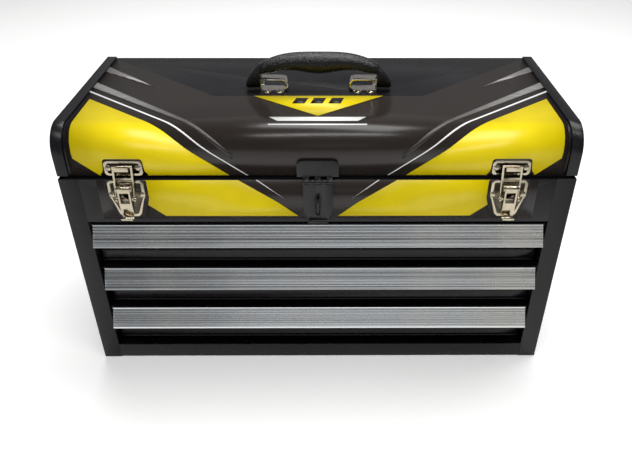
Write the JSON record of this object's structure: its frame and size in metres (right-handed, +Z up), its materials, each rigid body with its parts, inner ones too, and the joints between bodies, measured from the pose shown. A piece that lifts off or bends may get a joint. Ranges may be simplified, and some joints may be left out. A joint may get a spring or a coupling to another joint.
{
  "type": "toolbox with tray",
  "caption": "Portable steel tool chest with a hinged rounded lid over a lift-out tray and sliding drawers below, with draw latches, a hasp and a folding handle.",
  "frame": {"origin": "centre of the bottom panel's underside, midway across the case's width and depth", "axes": "+X along the case's width to the user's right, +Y from the drawer fronts to the back panel, +Z up"},
  "size_m": [0.522, 0.2346, 0.3378],
  "materials": {
    "painted_steel": "satin black-brown enamel on sheet steel",
    "hasp_black": "gloss black enamel",
    "tray_paint": "satin enamel on sheet steel",
    "pull_aluminium": "fluted extrusion, brushed along its length",
    "grip_plastic": "pebbled black plastic",
    "zinc_steel": "zinc-plated steel",
    "chrome": "bright chrome plate",
    "nickel": "bright nickel plate"
  },
  "bodies": {
    "case": {"side_panel_left": "painted_steel", "side_panel_right": "painted_steel", "back_panel": "painted_steel", "bottom_panel": "painted_steel", "till_floor": "painted_steel", "front_fascia": "painted_steel", "front_sill": "painted_steel", "runner_left_1": "zinc_steel", "runner_right_1": "zinc_steel", "runner_left_2": "zinc_steel", "runner_right_2": "zinc_steel", "runner_left_3": "zinc_steel", "runner_right_3": "zinc_steel", "hinge_case_leaf": "painted_steel", "hinge_pin": "zinc_steel", "case_rivets": "nickel", "latch_base_left": "nickel", "latch_base_right": "nickel", "latch_pin_left": "nickel", "latch_pin_right": "nickel", "hasp_staple": "hasp_black"},
    "lid": {"lid_skin": "painted_steel", "lid_end_left": "painted_steel", "lid_end_right": "painted_steel", "hinge_lid_leaf": "painted_steel", "lid_rivets": "nickel", "strike_left": "nickel", "strike_right": "nickel", "hasp_plate": "hasp_black", "hasp_pin": "hasp_black", "handle_bracket_left": "chrome", "handle_bracket_right": "chrome"},
    "handle": {"handle_grip": "grip_plastic", "handle_core": "zinc_steel", "handle_pins": "zinc_steel"},
    "latch_lever_left": {"latch_lever_left": "nickel", "link_pin_left": "nickel"},
    "latch_lever_right": {"latch_lever_right": "nickel", "link_pin_right": "nickel"},
    "latch_loop_left": {"latch_loop_left": "nickel"},
    "latch_loop_right": {"latch_loop_right": "nickel"},
    "hasp_leaf": {"hasp_leaf": "hasp_black"},
    "drawer_1": {"drawer_pan_1": "painted_steel", "drawer_front_1": "painted_steel", "drawer_pull_1": "pull_aluminium", "drawer_slides_1": "zinc_steel"},
    "drawer_2": {"drawer_pan_2": "painted_steel", "drawer_front_2": "painted_steel", "drawer_pull_2": "pull_aluminium", "drawer_slides_2": "zinc_steel"},
    "drawer_3": {"drawer_pan_3": "painted_steel", "drawer_front_3": "painted_steel", "drawer_pull_3": "pull_aluminium", "drawer_slides_3": "zinc_steel"},
    "tray": {"tray_pan": "tray_paint", "tray_divider": "tray_paint", "tray_handle": "chrome"}
  },
  "joints": [
    {"name": "lid_hinge", "type": "hinge", "parent": "case", "child": "lid", "pos_m": [0, 0.1092, 0.2471], "axis": [-1, 0, 0], "range_deg": [0, 100]},
    {"name": "handle_fold", "type": "hinge", "parent": "lid", "child": "handle", "pos_m": [0, 0.006, 0.3033], "axis": [1, 0, 0], "range_deg": [-66, 66]},
    {"name": "latch_left", "type": "hinge", "parent": "case", "child": "latch_lever_left", "pos_m": [-0.1935, -0.1142, 0.2395], "axis": [-1, 0, 0], "range_deg": [0, 90]},
    {"name": "latch_loop_left", "type": "hinge", "parent": "latch_lever_left", "child": "latch_loop_left", "pos_m": [-0.1935, -0.1132, 0.2265], "axis": [-1, 0, 0], "range_deg": [-65, 0]},
    {"name": "latch_right", "type": "hinge", "parent": "case", "child": "latch_lever_right", "pos_m": [0.1935, -0.1142, 0.2395], "axis": [-1, 0, 0], "range_deg": [0, 90]},
    {"name": "latch_loop_right", "type": "hinge", "parent": "latch_lever_right", "child": "latch_loop_right", "pos_m": [0.1935, -0.1132, 0.2265], "axis": [-1, 0, 0], "range_deg": [-65, 0]},
    {"name": "hasp_lift", "type": "hinge", "parent": "lid", "child": "hasp_leaf", "pos_m": [0, -0.11, 0.2447], "axis": [-1, 0, 0], "range_deg": [0, 150]},
    {"name": "drawer_1_slide", "type": "slide", "parent": "case", "child": "drawer_1", "axis": [0, -1, 0], "range_m": [0, 0.15]},
    {"name": "drawer_2_slide", "type": "slide", "parent": "case", "child": "drawer_2", "axis": [0, -1, 0], "range_m": [0, 0.15]},
    {"name": "drawer_3_slide", "type": "slide", "parent": "case", "child": "drawer_3", "axis": [0, -1, 0], "range_m": [0, 0.15]},
    {"name": "tray_lift", "type": "slide", "parent": "case", "child": "tray", "axis": [0, 0, 1], "range_m": [0, 0.052]}
  ],
  "couplings": [
    {"joint": "latch_loop_left", "follows": "latch_left", "ratio": -0.72},
    {"joint": "latch_loop_right", "follows": "latch_right", "ratio": -0.72}
  ]
}
